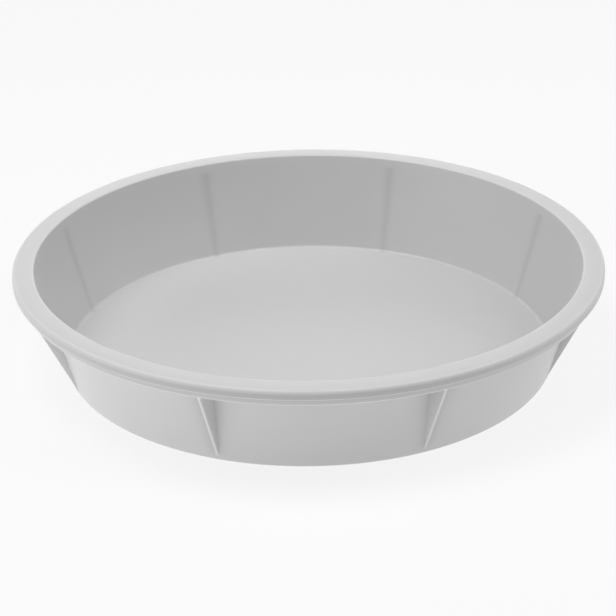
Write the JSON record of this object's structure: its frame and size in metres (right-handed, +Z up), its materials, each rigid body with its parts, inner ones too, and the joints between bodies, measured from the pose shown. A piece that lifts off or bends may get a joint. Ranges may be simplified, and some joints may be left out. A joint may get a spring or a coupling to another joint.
{
  "type": "silicone cake mould",
  "caption": "Round silicone cake mould: a shallow flared pan with a flat floor, a wide stepped rim and slim gussets between the rim and the outside of the wall.",
  "frame": {"origin": "middle of the underside, on the surface that the mould stands on", "axes": "+Z up along the mould's own axis, towards the open rim; +X and +Y lie midway between two gussets"},
  "size_m": [0.28, 0.28, 0.049],
  "materials": {
    "silicone": "satin"
  },
  "bodies": {
    "root": {"base_floor": "silicone", "side_wall": "silicone", "rim_flange": "silicone", "rim_stiffening_ring": "silicone", "gusset_1": "silicone", "gusset_2": "silicone", "gusset_3": "silicone", "gusset_4": "silicone", "gusset_5": "silicone", "gusset_6": "silicone", "gusset_7": "silicone", "gusset_8": "silicone"}
  },
  "joints": []
}
